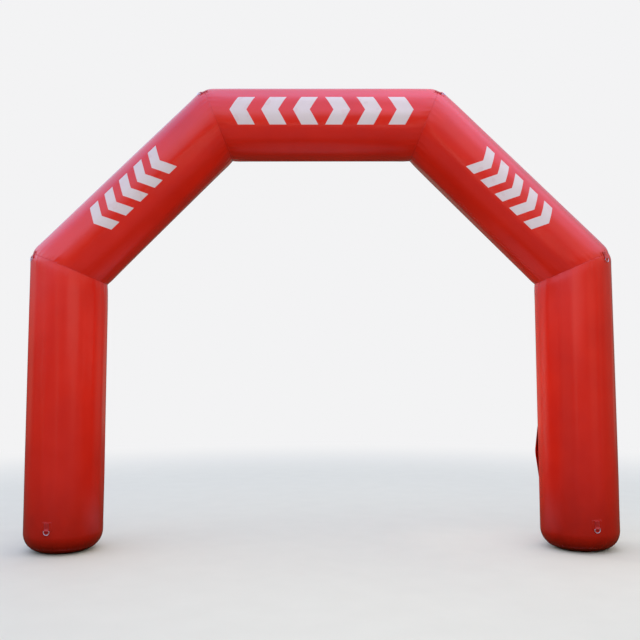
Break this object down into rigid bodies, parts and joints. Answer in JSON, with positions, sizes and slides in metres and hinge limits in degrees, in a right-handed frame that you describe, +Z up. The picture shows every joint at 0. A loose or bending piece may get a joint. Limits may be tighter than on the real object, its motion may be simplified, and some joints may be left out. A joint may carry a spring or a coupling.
{
  "type": "inflatable arch",
  "caption": "Inflatable event arch: one air-filled cloth tube in straight runs with mitred bends, on two rounded feet, with webbing tabs and D-rings for guy lines.",
  "frame": {"origin": "on the ground, midway between the two feet", "axes": "+X along the span towards the leg with the flap, -Y the front, +Z up"},
  "size_m": [6, 0.7968, 4.747],
  "materials": {
    "red_coated_cloth": "coated polyester, semi-gloss, slightly uneven",
    "red_webbing": "woven polyester webbing, matt",
    "ring_steel": "zinc-plated wire"
  },
  "bodies": {
    "root": {"leg_left": "red_coated_cloth", "leg_right": "red_coated_cloth", "base_left": "red_coated_cloth", "base_right": "red_coated_cloth", "shoulder_left": "red_coated_cloth", "shoulder_right": "red_coated_cloth", "beam": "red_coated_cloth", "flap_right": "red_coated_cloth", "patch_foot_left_front": "red_coated_cloth", "strap_foot_left_front": "red_webbing", "ring_foot_left_front": "ring_steel", "patch_foot_left_back": "red_coated_cloth", "strap_foot_left_back": "red_webbing", "ring_foot_left_back": "ring_steel", "patch_foot_right_front": "red_coated_cloth", "strap_foot_right_front": "red_webbing", "ring_foot_right_front": "ring_steel", "patch_foot_right_back": "red_coated_cloth", "strap_foot_right_back": "red_webbing", "ring_foot_right_back": "ring_steel", "patch_knee_left_front": "red_coated_cloth", "strap_knee_left_front": "red_webbing", "ring_knee_left_front": "ring_steel", "patch_knee_left_back": "red_coated_cloth", "strap_knee_left_back": "red_webbing", "ring_knee_left_back": "ring_steel", "patch_knee_right_front": "red_coated_cloth", "strap_knee_right_front": "red_webbing", "ring_knee_right_front": "ring_steel", "patch_knee_right_back": "red_coated_cloth", "strap_knee_right_back": "red_webbing", "ring_knee_right_back": "ring_steel", "patch_crown_left_front": "red_coated_cloth", "strap_crown_left_front": "red_webbing", "ring_crown_left_front": "ring_steel", "patch_crown_left_back": "red_coated_cloth", "strap_crown_left_back": "red_webbing", "ring_crown_left_back": "ring_steel", "patch_crown_right_front": "red_coated_cloth", "strap_crown_right_front": "red_webbing", "ring_crown_right_front": "ring_steel", "patch_crown_right_back": "red_coated_cloth", "strap_crown_right_back": "red_webbing", "ring_crown_right_back": "ring_steel"}
  },
  "joints": []
}
